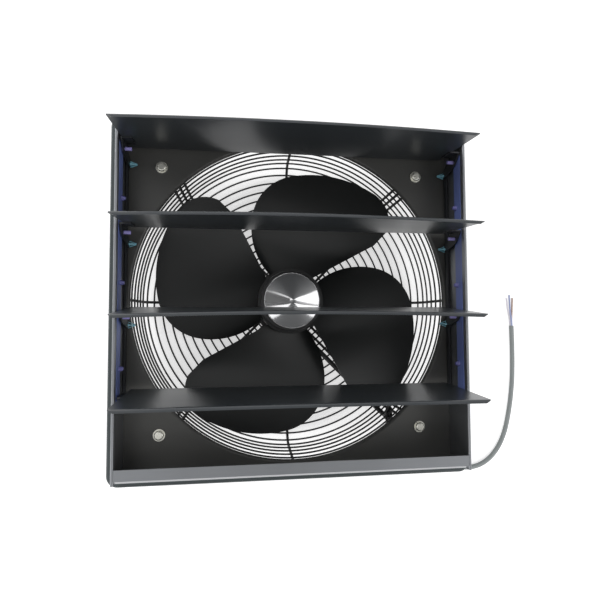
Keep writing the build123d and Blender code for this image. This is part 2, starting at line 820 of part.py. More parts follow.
def around_hub(radius, angle):
    """A point of the blade's outline at a radius from the fan's axis."""
    return (radius * cos(radians(angle)), radius * sin(radians(angle)))


lead_root = around_hub(lead_root_radius, lead_root_angle)
lead_start = around_hub(wheel_radius - lead_start_inset, lead_start_angle)
tip_start = around_hub(wheel_radius, tip_start_angle)
tip_end = around_hub(wheel_radius - tip_end_inset, tip_end_angle)
trail_start = around_hub(wheel_radius - trail_corner_inset, trail_start_angle)
trail_root = around_hub(hub_radius + trail_root_gap, trail_root_angle)
under_hub = around_hub(lead_root_radius, trail_root_angle)
with BuildPart() as blade_blank:
    with BuildSketch(Plane.XY):
        with BuildLine():
            lead_edge = Line(lead_root, lead_start)
            lead_corner = TangentArc(lead_start, tip_start, tangent=lead_edge % 1)
            tip_edge = TangentArc(tip_start, tip_end, tangent=lead_corner % 1)
            trail_corner = TangentArc(tip_end, trail_start, tangent=tip_edge % 1)
            trail_edge = TangentArc(trail_start, trail_root, tangent=trail_corner % 1)
            Polyline(trail_root, under_hub, lead_root)
        make_face()
    extrude(amount=panel_front)
    with BuildSketch(Plane.XY):
        Circle(hub_radius)
    extrude(amount=panel_front, mode=Mode.SUBTRACT)

with BuildPart() as blade_sheet_form:
    add(strip_section(root_plane, blade_root_half, blade_root_lift))
    add(strip_section(tip_plane, wheel_radius - blade_tip_shortfall, blade_tip_lift))
    loft(ruled=True)

blade_form = (Rot(0, 0, blade_middle_angle) * blade_sheet_form.part) & blade_blank.part
for number in range(1, blade_count + 1):
    blade = Rot(0, 0, -90 * (number - 1)) * blade_form
    save(blade.solid(), f"blade_{number}")

# Hub cap: a spun cone with a straight skirt over the can's spigot
with BuildPart() as hub_cap:
    with BuildSketch(Plane.XZ):
        with BuildLine():
            Polyline(
                (0, can_front + cap_height),
                (cap_radius, can_front + cap_skirt),
                (cap_radius, can_front),
                (cap_radius - cap_sheet, can_front),
                (cap_radius - cap_sheet, can_front + cap_skirt - cap_sheet),
                (0, can_front + cap_height - 1.2 * cap_sheet),
                close=True,
            )
        make_face()
    revolve(axis=Axis.Z)
    shoulder = hub_cap.edges().filter_by(GeomType.CIRCLE).sort_by(SortBy.RADIUS)[-4:]
    shoulder = shoulder.filter_by(lambda edge: abs(edge.center().Z - can_front - cap_skirt) < 0.01)
    fillet(shoulder, cap_edge_round)
save(hub_cap.part, "hub_cap")

# Motor lead: from the stator's gland over the rear rings, out between two rings and up the side
cable_angle = -45.0
lead_plane = arm_plane(cable_angle, -cable_side_step)
lower_ring = guard_place(bend_ring_count - 1)
upper_ring = guard_place(bend_ring_count)
gap_level = (lower_ring[1] + upper_ring[1]) / 2
cable_rear_height = mount_plate_top + cable_lift + cable_radius
cable_top = panel_rear - cable_under_panel
cable_leaning_out = cable_outside + (cable_top - gap_level) * tan(lean)
lead_start = sqrt(base_radius**2 - (cable_side_step - cable_radius) ** 2) + cable_lift
lead_points = [
    (lead_start, cable_rear_height),
    (cable_rise_start, cable_rear_height),
    (cable_rise_start + (gap_level - cable_rear_height) / tan(radians(cable_slope)), gap_level),
    (cable_outside, gap_level),
    (cable_leaning_out, cable_top),
    (clamp_reach, cable_top),
]


def tube(points, radii, radius):
    """Round tube along points joined by tangent arcs; prints its volume against its length."""
    start = Vector(*points[0])
    with BuildPart() as run:
        with BuildLine() as route:
            FilletPolyline(*points, radius=radii)
        with BuildSketch(Plane(origin=start, z_dir=Vector(*points[1]) - start)):
            Circle(radius)
        sweep()
    length = sum(edge.length for edge in route.edges())
    expected = pi * radius**2 * length
    print("tube length", round(length, 1), "volume over expected", round(run.part.volume / expected, 4))
    return run.part


lead_route = [tuple(lead_plane.from_local_coords((reach, level))) for reach, level in lead_points]
lead_bends = [cable_turn, cable_turn, cable_exit_turn, cable_top_turn]
motor_lead = tube(lead_route, lead_bends, cable_radius)
save(motor_lead, "motor_lead")

# Gland: a block on the motor plate round the lead's start
gland_inner = sqrt(base_radius**2 - (cable_side_step - gland_half_width) ** 2)
gland_outer = gland_inner + gland_length
with BuildPart() as cable_gland:
    gland_base = arm_plane(cable_angle, -cable_side_step)
    gland_plane = Plane(
        origin=gland_base.from_local_coords((gland_inner, 0)), x_dir=-gland_base.z_dir, z_dir=gland_base.x_dir
    )
    gland_top = cable_rear_height + cable_radius + gland_wall - 0.1
    with BuildSketch(gland_plane):
        with BuildLine():
            Polyline(
                (-gland_half_width, mount_plate_top),
                (gland_half_width, mount_plate_top),
                (gland_half_width, gland_top),
                (-gland_half_width, gland_top),
                close=True,
            )
        make_face()
        with Locations((0, cable_rear_height)):
            Circle(cable_radius, mode=Mode.SUBTRACT)
    extrude(amount=gland_length)
save(cable_gland.part, "cable_gland")

# Cable clips: each holds the lead to the arm wire beside it and has a flat tail
wire_step = -arm_spacing


def clip(lead_place, wire_place, along):
    """A clip with one eye for the lead and one for the arm wire, thick along a direction."""
    lead_at = Vector(*lead_plane.from_local_coords(lead_place))
    wire_at = Vector(*arm_plane(cable_angle, wire_step).from_local_coords(wire_place))
    apart = wire_at - lead_at
    apart = apart - along * apart.dot(along)
    plane = Plane(origin=lead_at, x_dir=apart, z_dir=along)
    with BuildPart() as piece:
        with BuildSketch(plane):
            Circle(cable_radius + clip_wall)
            with Locations((apart.length, 0)):
                Circle(arm_wire / 2 + clip_wall)
            make_hull()
            with Locations((-cable_radius - clip_tail / 2, 0)):
                Rectangle(clip_tail + clip_wall, clip_tail_sheet)
            Circle(cable_radius, mode=Mode.SUBTRACT)
            with Locations((apart.length, 0)):
                Circle(arm_wire / 2, mode=Mode.SUBTRACT)
        extrude(amount=clip_width / 2, both=True)
        split(bisect_by=Plane.XY.offset(clip_foot), keep=Keep.TOP)
    return piece.part


out_direction = Vector(lead_plane.x_dir)
up_direction = out_direction * sin(lean) + Vector(0, 0, cos(lean))
rear_clip_reach = guard_flat_radius - rear_ring_step / 2
side_clip_level = (guard_place(bend_ring_count + 1)[1] + guard_place(bend_ring_count + 2)[1]) / 2
side_clip_reach = cable_outside + (side_clip_level - gap_level) * tan(lean)
side_wire_reach = arm_start[0] + (side_clip_level - arm_start[1]) * tan(lean)
clips = [
    clip((rear_clip_reach, cable_rear_height), (rear_clip_reach, arm_wire / 2), out_direction),
    clip((side_clip_reach, side_clip_level), (side_wire_reach, side_clip_level), up_direction),
]
save(Compound(children=clips), "cable_clips")

# Power cord: from the last clip down to the floor, then round to the right of the fan
cord_start = lead_route[-1]
cord_floor = cable_radius + 0.2
cord_points = [
    cord_start,
    tuple(lead_plane.from_local_coords((clamp_reach + cord_first_run, cable_top))),
    (195.0, -201.0, cord_floor),
    (232.0, -220.5, cord_floor),
    (266.0, -214.5, cord_floor),
    (291.0, -186.0, cord_floor),
    (303.0, -140.0, cord_floor),
    (309.0, -86.0, cord_floor),
    (308.0, -31.0, cord_floor),
]


def arc_radii(points):
    """The largest even arc at each corner: 0.45 of the shorter run over the half turn's tangent."""
    radii = []
    for before, corner, after in zip(points, points[1:], points[2:]):
        arriving = Vector(*corner) - Vector(*before)
        leaving = Vector(*after) - Vector(*corner)
        half_turn = radians(arriving.get_angle(leaving)) / 2
        radii.append(0.45 * min(arriving.length, leaving.length) / tan(half_turn))
    return radii


cord_radii = arc_radii(cord_points)
print("cord arc radii", [round(radius, 1) for radius in cord_radii])
power_cord = tube(cord_points, cord_radii, cable_radius)
save(power_cord, "power_cord")

# Stripped cores at the far end: they leave the sheath together and spread on the floor
cord_end = Vector(*cord_points[-1])
end_direction = (cord_end - Vector(*cord_points[-2])).normalized()
end_side = Vector(end_direction.Y, -end_direction.X, 0)
core_floor = core_wire_radius + 0.2
for core_name, place in {"white_core": -1, "blue_core": 0, "brown_core": 1}.items():
    around = radians(90 - 120 * place)
    first = cord_end + end_side * core_ring * cos(around) + Vector(0, 0, core_ring * sin(around))
    second = first + end_direction * core_drop_run
    spread = end_side * place * core_spread
    third = cord_end + end_direction * (2.2 * core_drop_run) + spread
    fourth = cord_end + end_direction * (core_tail_length - core_stagger * abs(place)) + spread * 1.4
    core_points = [first, second] + [Vector(spot.X, spot.Y, core_floor) for spot in (third, fourth)]
    core_points = [tuple(spot) for spot in core_points]
    save(tube(core_points, arc_radii(core_points), core_wire_radius), core_name)
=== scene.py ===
# %% [markdown]
# # Dressing a shutter exhaust fan
#
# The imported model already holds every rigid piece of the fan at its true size: casing, shutter frame,
# slats, wheel, motor and guard. This lesson keeps those pieces where they are, gives each one a finish, and
# replaces only the pieces whose surfaces need to be rounder or softer than the model's flat facets. The
# sizes of pieces and the camera's place are written in millimetres, and the floor and the lamps in
# Blender's metres.

# %% Load the frame
import json

import bpy
import numpy as np
from mathutils import Matrix


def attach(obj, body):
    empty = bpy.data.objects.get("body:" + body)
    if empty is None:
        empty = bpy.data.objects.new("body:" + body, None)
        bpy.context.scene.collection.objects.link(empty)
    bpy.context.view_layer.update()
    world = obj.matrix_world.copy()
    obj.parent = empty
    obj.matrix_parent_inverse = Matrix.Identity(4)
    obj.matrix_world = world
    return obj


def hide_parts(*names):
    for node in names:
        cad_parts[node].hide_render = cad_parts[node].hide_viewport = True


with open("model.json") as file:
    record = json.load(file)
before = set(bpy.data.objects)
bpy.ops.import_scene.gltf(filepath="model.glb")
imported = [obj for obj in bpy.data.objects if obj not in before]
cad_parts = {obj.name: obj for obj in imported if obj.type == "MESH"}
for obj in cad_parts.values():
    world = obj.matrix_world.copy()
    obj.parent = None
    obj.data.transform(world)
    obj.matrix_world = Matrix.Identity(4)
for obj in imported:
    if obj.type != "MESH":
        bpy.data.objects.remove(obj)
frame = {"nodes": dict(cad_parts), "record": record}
scene = bpy.context.scene
nodes = frame["nodes"]
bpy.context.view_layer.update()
MM = 0.001

# %% [markdown]
# ## The camera
#
# The photograph is taken from in front of the shutter, a little to the left and below the middle, with a
# wide lens. A camera could be aimed with a Track To constraint, but the view was solved as three turns, so
# it is simplest to write those turns as matrices. A camera's world matrix is its place times the transpose
# of the matrix that brings the world into the camera's view.

# %% Camera from three turns
CAMERA_PLACE = (-67.28, -28.45, 623.04)
CAMERA_YAW, CAMERA_PITCH, CAMERA_ROLL = np.radians([7.75, -2.92, 0.25])
FOCAL_PIXELS, PICTURE_PIXELS, SENSOR_WIDTH = 486.18, 600, 36.0
NEAREST_SEEN, FARTHEST_SEEN = 0.01, 50.0


def turn(axis, angle):
    """Matrix of a turn by an angle about X, Y or Z (0, 1 or 2), for column vectors."""
    matrix = np.eye(3)
    first, second = [index for index in range(3) if index != axis]
    cosine, sine = np.cos(angle), np.sin(angle)
    matrix[first, first] = matrix[second, second] = cosine
    matrix[first, second] = sine if axis == 1 else -sine
    matrix[second, first] = -matrix[first, second]
    return matrix


world_to_camera = turn(2, CAMERA_ROLL) @ turn(0, CAMERA_PITCH) @ turn(1, CAMERA_YAW)
camera = bpy.data.objects.new("camera", bpy.data.cameras.new("camera"))
camera.data.sensor_width = SENSOR_WIDTH
camera.data.lens = SENSOR_WIDTH * FOCAL_PIXELS / PICTURE_PIXELS
camera.data.clip_start, camera.data.clip_end = NEAREST_SEEN, FARTHEST_SEEN
camera_place = Matrix.Translation([length * MM for length in CAMERA_PLACE])
camera.matrix_world = camera_place @ Matrix(world_to_camera.T.tolist()).to_4x4()
scene.collection.objects.link(camera)
scene.camera = camera
print("lens", round(camera.data.lens, 2), "mm")

# %% [markdown]
# ## Two small helpers
#
# Every material in this lesson starts as the Principled shader and output that Blender gives it, and every
# mesh is an array of points with its faces. The object stays at the origin, so a piece's place is in its
# points. Shading is smooth, and where an angle is given, sharper edges stay crisp.

# %% Materials and meshes


def new_material(name):
    """A node material, and the nodes and links of its tree."""
    material = bpy.data.materials.new(name)
    material.use_nodes = True
    return material, material.node_tree.nodes, material.node_tree.links


def mesh_object(name, points, faces, sharp=None):
    """An object at the origin from an array of points in metres and its faces. It's shaded smooth, but for
    edges whose faces meet at more than the angle sharp, in degrees."""
    mesh = bpy.data.meshes.new(name)
    mesh.from_pydata(np.asarray(points).reshape(-1, 3).tolist(), [], [list(face) for face in faces])
    mesh.polygons.foreach_set("use_smooth", [True] * len(mesh.polygons))
    if sharp is not None:
        mesh.set_sharp_from_angle(angle=np.radians(sharp))
    mesh.update()
    piece = bpy.data.objects.new(name, mesh)
    scene.collection.objects.link(piece)
    return piece


# %% [markdown]
# ## The floor
#
# The picture has a plain white ground. A floor that is only bright would throw too much light back on the
# black sheet metal. So the floor's own colour is a pale grey, which keeps the fan's shadow, and a glow that
# only the camera and mirrored rays see lifts it to white.

# %% Floor of pale paper
FLOOR_HALF, FLOOR_LEVEL = 6.0, -0.0002
FLOOR_GREY, FLOOR_ROUGHNESS, FLOOR_GLOW = 0.80, 0.9, 0.58

floor_points = [(-FLOOR_HALF, -FLOOR_HALF, FLOOR_LEVEL), (FLOOR_HALF, -FLOOR_HALF, FLOOR_LEVEL)]
floor_points += [(FLOOR_HALF, FLOOR_HALF, FLOOR_LEVEL), (-FLOOR_HALF, FLOOR_HALF, FLOOR_LEVEL)]
floor = mesh_object("floor", floor_points, [(0, 1, 2, 3)])
floor_finish, floor_nodes, floor_links = new_material("floor_paper")
floor_shader = floor_nodes["Principled BSDF"]
floor_shader.inputs["Base Color"].default_value = (FLOOR_GREY, FLOOR_GREY, FLOOR_GREY, 1)
floor_shader.inputs["Roughness"].default_value = FLOOR_ROUGHNESS
floor_shader.inputs["Emission Color"].default_value = (1, 1, 1, 1)
floor_path = floor_nodes.new("ShaderNodeLightPath")
floor_seen = floor_nodes.new("ShaderNodeMath")
floor_seen.operation = "MAXIMUM"
floor_links.new(floor_path.outputs["Is Camera Ray"], floor_seen.inputs[0])
floor_links.new(floor_path.outputs["Is Glossy Ray"], floor_seen.inputs[1])
floor_glow = floor_nodes.new("ShaderNodeMapRange")
floor_glow.inputs["To Max"].default_value = FLOOR_GLOW
floor_links.new(floor_seen.outputs[0], floor_glow.inputs["Value"])
floor_links.new(floor_glow.outputs["Result"], floor_shader.inputs["Emission Strength"])
floor.data.materials.append(floor_finish)
print("floor", 2 * FLOOR_HALF, "m wide")

# %% [markdown]
# ## The room
#
# Black paint, aluminium and chrome show the room that they mirror. A photograph of a real room could light
# them, but a few ramps on a ray's direction are easier to steer. Rays that light the surfaces meet one even
# level, and the camera meets white. Mirrored rays meet a room that is dimmer in front of the fan, where the
# camera stands, lighter above it, and lightest at its left. Low round the sides that room is cut into
# sectors, dark and light, because the conical cap shows each of them as a wedge.

# %% World helpers
world = bpy.data.worlds.new("studio")
scene.world = world
world.use_nodes = True
sky_nodes, sky_links = world.node_tree.nodes, world.node_tree.links


def feed(socket, source):
    """Give a socket either a number or a link from another node's output."""
    if isinstance(source, bpy.types.NodeSocket):
        sky_links.new(source, socket)
    else:
        socket.default_value = source


def sky_ramp(value, start, end, low, high):
    """Level that goes evenly from low to high while the value goes from start to end, and is flat beyond
    both."""
    ramp = sky_nodes.new("ShaderNodeMapRange")
    settings = {"Value": value, "From Min": start, "From Max": end, "To Min": low, "To Max": high}
    for name, source in settings.items():
        feed(ramp.inputs[name], source)
    return ramp.outputs["Result"]


def sky_math(operation, first, second):
    """Result of a Math node's operation on two levels."""
    step = sky_nodes.new("ShaderNodeMath")
    step.operation = operation
    feed(step.inputs[0], first)
    feed(step.inputs[1], second)
    return step.outputs[0]


def sky_blend(share, first, second):
    """The first level where the share is zero, the second where it's one, and an even mix between."""
    blend = sky_nodes.new("ShaderNodeMix")
    for name, source in {"Factor": share, "A": first, "B": second}.items():
        feed(blend.inputs[name], source)
    return blend.outputs["Result"]


toward = sky_nodes.new("ShaderNodeTexCoord")
direction = sky_nodes.new("ShaderNodeSeparateXYZ")
sky_links.new(toward.outputs["Generated"], direction.inputs["Vector"])
across, upward, forward = [direction.outputs[axis] for axis in "XYZ"]
print("world", world.name)

# %% Broad shape of the mirrored room
FRONT_DIM = {"start": 0.35, "end": 0.95, "low": 1.0, "high": 0.38}
TOP_LIFT = {"start": -0.9, "end": 0.6, "low": 0.35, "high": 1.08}
LEFT_LIFT = {"start": -0.35, "end": 0.40, "low": 3.6, "high": 0.55}

front_and_top = sky_math("MULTIPLY", sky_ramp(forward, **FRONT_DIM), sky_ramp(upward, **TOP_LIFT))
broad_room = sky_math("MULTIPLY", front_and_top, sky_ramp(across, **LEFT_LIFT))
darkest = FRONT_DIM["high"] * TOP_LIFT["low"] * LEFT_LIFT["high"]
lightest = FRONT_DIM["low"] * TOP_LIFT["high"] * LEFT_LIFT["low"]
print("mirrored levels", round(darkest, 2), "to", round(lightest, 2))

# %% Sectors round the sides
# Level of the mirrored room by the direction round the fan's axis, in degrees from +X.
ROOM_SECTORS = {
    -180: 0.10, -168: 0.10, -160: 1.3, -124: 1.3, -114: 0.10, -72: 0.10,
    -62: 1.5, 26: 1.5, 30: 1.2, 148: 0.9, 154: 0.10,
}
BRIGHTEST_SECTOR = 2.0
BELT_FOOT = {"start": 0.30, "end": 0.42, "low": 0, "high": 1}
BELT_TOP = {"start": 0.80, "end": 0.90, "low": 1, "high": 0}

azimuth = sky_math("ARCTAN2", upward, across)
sectors = sky_nodes.new("ShaderNodeValToRGB")
sky_links.new(sky_ramp(azimuth, -np.pi, np.pi, 0.0, 1.0), sectors.inputs["Fac"])
stops = sectors.color_ramp.elements
for count, (degrees, level) in enumerate(ROOM_SECTORS.items()):
    position = (degrees + 180) / 360
    stop = stops.new(position) if count else stops[0]
    stop.position = position
    stop.color = [level / BRIGHTEST_SECTOR] * 3 + [1]
stops[-1].color = stops[0].color
sector_room = sky_ramp(sectors.outputs["Color"], 0, 1, 0, BRIGHTEST_SECTOR)
print("sectors", len(ROOM_SECTORS))

# %% Levels for each kind of ray
EVEN_LEVEL = 0.46

belt_room = sky_blend(sky_ramp(forward, **BELT_TOP), broad_room, sector_room)
mirrored_room = sky_blend(sky_ramp(forward, **BELT_FOOT), broad_room, belt_room)
light_path = sky_nodes.new("ShaderNodeLightPath")
room_level = sky_blend(light_path.outputs["Is Glossy Ray"], EVEN_LEVEL, mirrored_room)
sky = sky_nodes["Background"]
sky.inputs["Color"].default_value = (1, 1, 1, 1)
feed(sky.inputs["Strength"], sky_math("MAXIMUM", room_level, light_path.outputs["Is Camera Ray"]))
print("even level", EVEN_LEVEL)

# %% [markdown]
# ## Lamps
#
# Three broad square lamps stand at the upper left, below and at the right. They give the soft shadow and
# the lighter side of each form. Mirrored rays don't see them, because the room above already draws the
# reflections.

# %% Soft lamps
LAMP_AIM = (0, 0, 0.1)
LAMPS = {
    "key_lamp": {"place": (-0.9, 1.1, 1.6), "size": 1.2, "watts": 15},
    "low_lamp": {"place": (-0.3, -1.2, 1.2), "size": 1.2, "watts": 8},
    "fill_lamp": {"place": (1.3, -0.6, 1.4), "size": 1.4, "watts": 9},
}


def look_frame(away):
    """Rows of a turn whose Z column points away from the aim and whose Y column leans to +Y."""
    back = away / np.linalg.norm(away)
    side = np.cross((0, 1, 0), back)
    side /= np.linalg.norm(side)
    up = np.cross(back, side)
    return np.column_stack([side, up, back]).tolist()


def soft_lamp(name, place, size, watts):
    """A square soft lamp at a place in metres, turned to face the fan and hidden from mirrored rays."""
    light = bpy.data.lights.new(name, "AREA")
    light.shape = "SQUARE"
    light.size = size
    light.energy = watts
    holder = bpy.data.objects.new(name, light)
    scene.collection.objects.link(holder)
    away = np.subtract(place, LAMP_AIM)
    holder.matrix_world = Matrix.Translation(place) @ Matrix(look_frame(away)).to_4x4()
    holder.visible_glossy = False


for name, settings in LAMPS.items():
    soft_lamp(name, **settings)
print("lamps", len(LAMPS))

# %% [markdown]
# ## Finishes
#
# Every finish here is one Principled shader whose colour, roughness and bump come from noise in Object
# coordinates, so it needs no unwrapping and stays put when the piece moves. Numbers that are the same all
# over a surface are set on the shader itself.

# %% Finish builder
COAT_ROUGHNESS = 0.15
ROUGHNESS_SWING, SMOOTHEST = 0.06, 0.02
BLOTCH_SHARE = 40.0
FINE_DETAIL, BLOTCH_DETAIL = 3.0, 2.0
BUMP_HEIGHT = 0.0002


def finish(
    name, colour, roughness, metal=0.0, mottle=0.06, grain=900.0, bump=0.02, coat=0.0, shine=0.5,
    stretch=(1, 1, 1),
):
    """Mottled finish. Broad noise moves the colour up and down by the share mottle, and the roughness by a
    fixed swing. Fine noise gives a bump. stretch makes both run along one axis, like brushing or drawn
    wire."""
    material, tree_nodes, tree_links = new_material(name)
    shader = tree_nodes["Principled BSDF"]
    shader.inputs["Metallic"].default_value = metal
    shader.inputs["Coat Weight"].default_value = coat
    shader.inputs["Coat Roughness"].default_value = COAT_ROUGHNESS
    shader.inputs["Specular IOR Level"].default_value = shine
    coordinates = tree_nodes.new("ShaderNodeTexCoord")
    mapping = tree_nodes.new("ShaderNodeMapping")
    mapping.inputs["Scale"].default_value = stretch
    tree_links.new(coordinates.outputs["Object"], mapping.inputs["Vector"])
    noises = []
    for scale, detail in ((grain, FINE_DETAIL), (grain / BLOTCH_SHARE, BLOTCH_DETAIL)):
        noise = tree_nodes.new("ShaderNodeTexNoise")
        noise.inputs["Scale"].default_value = scale
        noise.inputs["Detail"].default_value = detail
        tree_links.new(mapping.outputs["Vector"], noise.inputs["Vector"])
        noises.append(noise.outputs["Fac"])
    fine, blotches = noises
    shade = tree_nodes.new("ShaderNodeMix")
    shade.data_type = "RGBA"
    shade.inputs["A"].default_value = [channel * (1 - mottle) for channel in colour] + [1]
    shade.inputs["B"].default_value = [min(channel * (1 + mottle), 1) for channel in colour] + [1]
    tree_links.new(blotches, shade.inputs["Factor"])
    tree_links.new(shade.outputs["Result"], shader.inputs["Base Color"])
    gloss = tree_nodes.new("ShaderNodeMapRange")
    gloss.inputs["To Min"].default_value = max(roughness - ROUGHNESS_SWING, SMOOTHEST)
    gloss.inputs["To Max"].default_value = roughness + ROUGHNESS_SWING
    tree_links.new(blotches, gloss.inputs["Value"])
    tree_links.new(gloss.outputs["Result"], shader.inputs["Roughness"])
    relief = tree_nodes.new("ShaderNodeBump")
    relief.inputs["Strength"].default_value = bump
    relief.inputs["Distance"].default_value = BUMP_HEIGHT
    tree_links.new(fine, relief.inputs["Height"])
    tree_links.new(relief.outputs["Normal"], shader.inputs["Normal"])
    return material


# %% [markdown]
# The casing and the panel are painted steel, so they get a strong fine bump for the paint's orange peel.
# The shutter's frame is bare aluminium, brushed along the fan's height, and the slats are black anodised
# sheet whose grain runs along their length. Brackets and rods are plainly painted.

# %% Sheet metal
ALONG_X, ALONG_Y = (0.05, 1, 1), (1, 0.05, 1)
finishes = {
    "casing_black": finish("casing_paint", (0.042, 0.053, 0.056), roughness=0.34, coat=0.1, bump=0.08),
    "panel_brown": finish("panel_paint", (0.076, 0.076, 0.072), roughness=0.44, bump=0.08),
    "frame_silver": finish(
        "frame_aluminium", (0.276, 0.286, 0.302), roughness=0.38, metal=0.85, stretch=ALONG_Y
    ),
    "slat_black": finish(
        "slat_anodised", (0.032, 0.037, 0.042), roughness=0.30, metal=0.1, shine=0.7, stretch=ALONG_X
    ),
    "bracket_black": finish("bracket_paint", (0.017, 0.019, 0.022), roughness=0.5),
    "rod_dark": finish("rod_paint", (0.017, 0.019, 0.023), roughness=0.5),
}
print("sheet metal", len(finishes))

# %% [markdown]
# The shutter's bearing strips, pegs and pins are moulded plastic in blue, violet and teal. They need only a
# colour and a soft gloss. The guard is wire with a dark coating, and its screws are nickel plated with a
# warm tint.

# %% Plastics, wire and screws
finishes |= {
    "strip_blue": finish("strip_plastic", (0.17, 0.225, 0.54), roughness=0.40),
    "peg_white": finish("peg_plastic", (0.18, 0.18, 0.44), roughness=0.38),
    "pin_violet": finish("pin_plastic", (0.30, 0.27, 0.60), roughness=0.40),
    "pin_teal": finish("link_pin_plastic", (0.26, 0.58, 0.70), roughness=0.36),
    "guard_wire": finish("guard_coating", (0.026, 0.026, 0.026), roughness=0.35, coat=0.2),
    "screw_nickel": finish("screw_nickel_plate", (0.88, 0.87, 0.79), roughness=0.26, metal=0.7),
}
print("finishes", len(finishes))

# %% [markdown]
# The motor has a rough casting, ground bearings, a core of stacked steel sheets and copper windings. Noise
# that is squeezed along the axis draws the sheets' edges and the turns of wire. The wheel is painted black,
# with less shine than the casing, and its cap is chrome plate that is nearly a mirror.

# %% Motor and wheel
SHEET_EDGES, WIRE_TURNS = (1, 1, 30), (1, 1, 10)
finishes |= {
    "motor_alloy": finish("motor_casting", (0.30, 0.30, 0.31), roughness=0.5, metal=0.9, bump=0.2),
    "bearing_steel": finish("bearing_ground_steel", (0.60, 0.60, 0.62), roughness=0.22, metal=1.0),
    "core_steel": finish(
        "core_laminations", (0.25, 0.25, 0.26), roughness=0.45, metal=0.9, stretch=SHEET_EDGES
    ),
    "copper_winding": finish(
        "winding_copper", (0.45, 0.17, 0.06), roughness=0.35, metal=0.7, stretch=WIRE_TURNS
    ),
    "rotor_black": finish("rotor_paint", (0.014, 0.014, 0.015), roughness=0.38),
    "blade_black": finish(
        "blade_paint", (0.012, 0.013, 0.013), roughness=0.36, coat=0.05, shine=0.35, bump=0.06
    ),
    "cap_chrome": finish(
        "cap_chrome_plate", (0.86, 0.86, 0.87), roughness=0.12, metal=0.84, mottle=0.02, bump=0.0
    ),
}
print("finishes", len(finishes))

# %% [markdown]
# The lead inside the guard and its gland are black. The free cord has a grey sheath, and its three bare
# cores are white, blue and brown.

# %% Cable
finishes |= {
    "cord_black": finish("lead_sheath", (0.020, 0.020, 0.020), roughness=0.5),
    "gland_black": finish("gland_plastic", (0.018, 0.018, 0.018), roughness=0.45),
    "cord_grey": finish("cord_sheath", (0.28, 0.305, 0.305), roughness=0.42, bump=0.05),
    "core_white": finish("core_white_sheath", (0.84, 0.81, 0.87), roughness=0.4),
    "core_blue": finish("core_blue_sheath", (0.40, 0.45, 0.68), roughness=0.4),
    "core_brown": finish("core_brown_sheath", (0.46, 0.33, 0.27), roughness=0.4),
}
print("finishes", len(finishes))

# %% [markdown]
# ## Dressing the model's own pieces
#
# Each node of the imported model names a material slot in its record. A dictionary from slot to finish is all
# it takes to dress them.

# %% Give each node its finish
for entry in frame["record"]["subparts"]:
    node = nodes[entry["node"]]
    node.data.materials.clear()
    node.data.materials.append(finishes[entry["material_slot"]])

# %% [markdown]
# ## Surfaces from grids
#
# A tube, a ring or a bent sheet is one section repeated along a path, which is a grid of points. These
# helpers turn a grid into faces and close its ends. A surface that is wound the wrong way looks inward, and
# its volume comes out negative, so that is what they test before a mesh is made.

# %% Grid helpers


def grid_faces(rows, columns, wrap_rows=False, wrap_columns=True):
    """Quads of a grid whose point (row, column) has the index row times columns plus column."""
    row_count = rows if wrap_rows else rows - 1
    column_count = columns if wrap_columns else columns - 1
    row, column = np.meshgrid(np.arange(row_count), np.arange(column_count), indexing="ij")
    next_row, next_column = (row + 1) % rows, (column + 1) % columns
    corners = [row * columns + column, next_row * columns + column]
    corners += [next_row * columns + next_column, row * columns + next_column]
    return np.stack(corners, axis=-1).reshape(-1, 4)


def signed_volume(points, faces):
    """Volume inside a closed surface: each face is cut into triangles from its first corner, and each
    triangle adds a sixth of the triple product of its corners. It's negative where the faces look
    inward."""
    volume = 0.0
    for face in faces:
        corners = points[face]
        volume += (np.cross(corners[1:-1], corners[2:]) @ corners[0]).sum() / 6
    return volume


def outward(points, faces):
    """The points, and the faces of a closed surface turned so that they look outward."""
    faces = [list(face) for face in faces]
    return points, [face[::-1] for face in faces] if signed_volume(points, faces) < 0 else faces


def capped_tube(grid):
    """Points and outward faces of a tube of sections, closed by one polygon at each end."""
    rows, columns = grid.shape[:2]
    first = list(range(columns))
    last = list(range((rows - 1) * columns, rows * columns))[::-1]
    return outward(grid.reshape(-1, 3), grid_faces(rows, columns).tolist() + [first, last])


def stand_in(piece, node, body, slot):
    """Dress a piece that takes the place of a node and moves with its body."""
    piece.data.materials.append(finishes[slot])
    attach(piece, body)
    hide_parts(node)


# %% [markdown]
# ## Guard rings
#
# The real rings are round wire. A torus primitive could make each one, but a ring is also a simple surface
# of two angles, and numpy works out all of its points at once. Their places follow the guard's profile: a
# flat rear, a rounded corner, and a side that leans out a little toward the panel.

# %% Places of the rings
GUARD_FLAT, GUARD_BEND, GUARD_TAPER = 155.0, 20.0, 6.2
ARM_WIRE, RING_WIRE = 3.4, 2.2
REAR_STEPS, REAR_STEP, INNER_STEPS, INNER_STEP = 9, 9.8, 3, 7.3
BEND_STEPS, SIDE_STEPS, SIDE_STEP = 3, 4, 10.7


